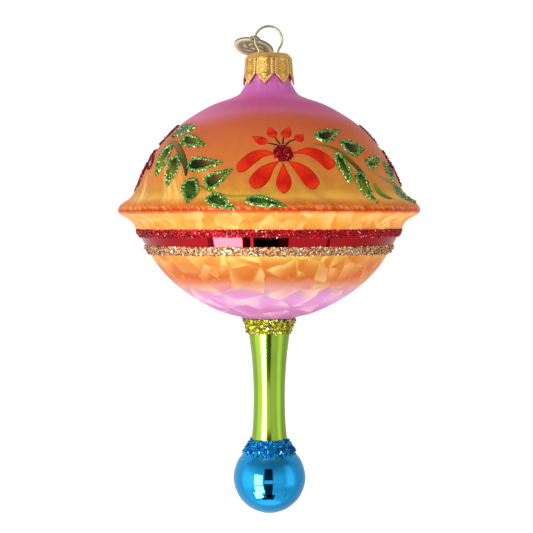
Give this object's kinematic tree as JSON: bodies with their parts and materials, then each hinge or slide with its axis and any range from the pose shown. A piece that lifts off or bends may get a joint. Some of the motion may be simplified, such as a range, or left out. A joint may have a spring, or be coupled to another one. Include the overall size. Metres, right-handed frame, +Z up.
{
  "type": "hanging glass maraca ornament",
  "caption": "Hanging blown-glass ornament shaped like a maraca, with glitter trims, a crown cap, a sprung wire loop and a swinging tag.",
  "frame": {"origin": "lowest point of the ball end, on the glass's axis", "axes": "+Z up the axis from the ball end to the hanging loop, -Y is the front with the orange flower, +X to the right seen from the front"},
  "size_m": [0.1002, 0.1002, 0.1624],
  "materials": {
    "coated_glass": "satin",
    "enamel_orange_red": "gloss",
    "enamel_green": "gloss",
    "enamel_stem": "satin",
    "enamel_crimson_mirror": "gloss",
    "glitter_red": "gloss",
    "glitter_gold": "gloss",
    "glitter_chartreuse": "gloss",
    "glitter_blue": "gloss",
    "glitter_leaf_green": "gloss",
    "glitter_burgundy": "gloss",
    "glitter_crimson": "gloss",
    "cap_gold": "satin",
    "wire_champagne": "polished",
    "tag_pewter": "satin"
  },
  "bodies": {
    "vessel": {"glass_vessel": "coated_glass", "flower_centre_east": "glitter_crimson", "flower_centre_front": "glitter_crimson", "flower_centre_rear": "glitter_crimson", "flower_centre_west": "glitter_crimson", "glitter_band_gold": "glitter_gold", "glitter_band_red": "glitter_red", "glitter_collar_blue": "glitter_blue", "glitter_collar_green": "glitter_chartreuse", "leaf_cord_front_left_1": "glitter_leaf_green", "leaf_cord_front_left_2": "glitter_leaf_green", "leaf_cord_front_left_3": "glitter_leaf_green", "leaf_cord_front_left_4": "glitter_leaf_green", "leaf_cord_front_left_5": "glitter_leaf_green", "leaf_cord_front_left_6": "glitter_leaf_green", "leaf_cord_front_left_7": "glitter_leaf_green", "leaf_cord_front_left_8": "glitter_leaf_green", "leaf_cord_front_left_9": "glitter_leaf_green", "leaf_cord_front_right_1": "glitter_leaf_green", "leaf_cord_front_right_2": "glitter_leaf_green", "leaf_cord_front_right_3": "glitter_leaf_green", "leaf_cord_front_right_4": "glitter_leaf_green", "leaf_cord_front_right_5": "glitter_leaf_green", "leaf_cord_front_right_6": "glitter_leaf_green", "leaf_cord_front_right_7": "glitter_leaf_green", "leaf_cord_rear_left_1": "glitter_leaf_green", "leaf_cord_rear_left_2": "glitter_leaf_green", "leaf_cord_rear_left_3": "glitter_leaf_green", "leaf_cord_rear_left_4": "glitter_leaf_green", "leaf_cord_rear_left_5": "glitter_leaf_green", "leaf_cord_rear_left_6": "glitter_leaf_green", "leaf_cord_rear_left_7": "glitter_leaf_green", "leaf_cord_rear_left_8": "glitter_leaf_green", "leaf_cord_rear_left_9": "glitter_leaf_green", "leaf_cord_rear_right_1": "glitter_leaf_green", "leaf_cord_rear_right_2": "glitter_leaf_green", "leaf_cord_rear_right_3": "glitter_leaf_green", "leaf_cord_rear_right_4": "glitter_leaf_green", "petal_cord_east_1": "glitter_burgundy", "petal_cord_east_2": "glitter_burgundy", "petal_cord_east_3": "glitter_burgundy", "petal_cord_east_4": "glitter_burgundy", "petal_cord_east_5": "glitter_burgundy", "petal_cord_east_6": "glitter_burgundy", "petal_cord_east_7": "glitter_burgundy", "petal_cord_west_1": "glitter_burgundy", "petal_cord_west_2": "glitter_burgundy", "petal_cord_west_3": "glitter_burgundy", "petal_cord_west_4": "glitter_burgundy", "petal_cord_west_5": "glitter_burgundy", "petal_cord_west_6": "glitter_burgundy", "petal_cord_west_7": "glitter_burgundy"},
    "cap": {"crown_cap": "cap_gold"},
    "hanger": {"hanger_wire": "wire_champagne"},
    "tag": {"hang_tag": "tag_pewter"}
  },
  "joints": [
    {"name": "cap_lift", "type": "slide", "parent": "vessel", "child": "cap", "axis": [0, 0, 1], "range_m": [0, 0.03]},
    {"name": "hanger_slide", "type": "slide", "parent": "cap", "child": "hanger", "axis": [0, 0, 1], "range_m": [0, 0.003]},
    {"name": "tag_swing", "type": "hinge", "parent": "hanger", "child": "tag", "pos_m": [-0.00448, 0, 0.158], "axis": [0, 0, 1], "range_deg": [0, 170]}
  ]
}
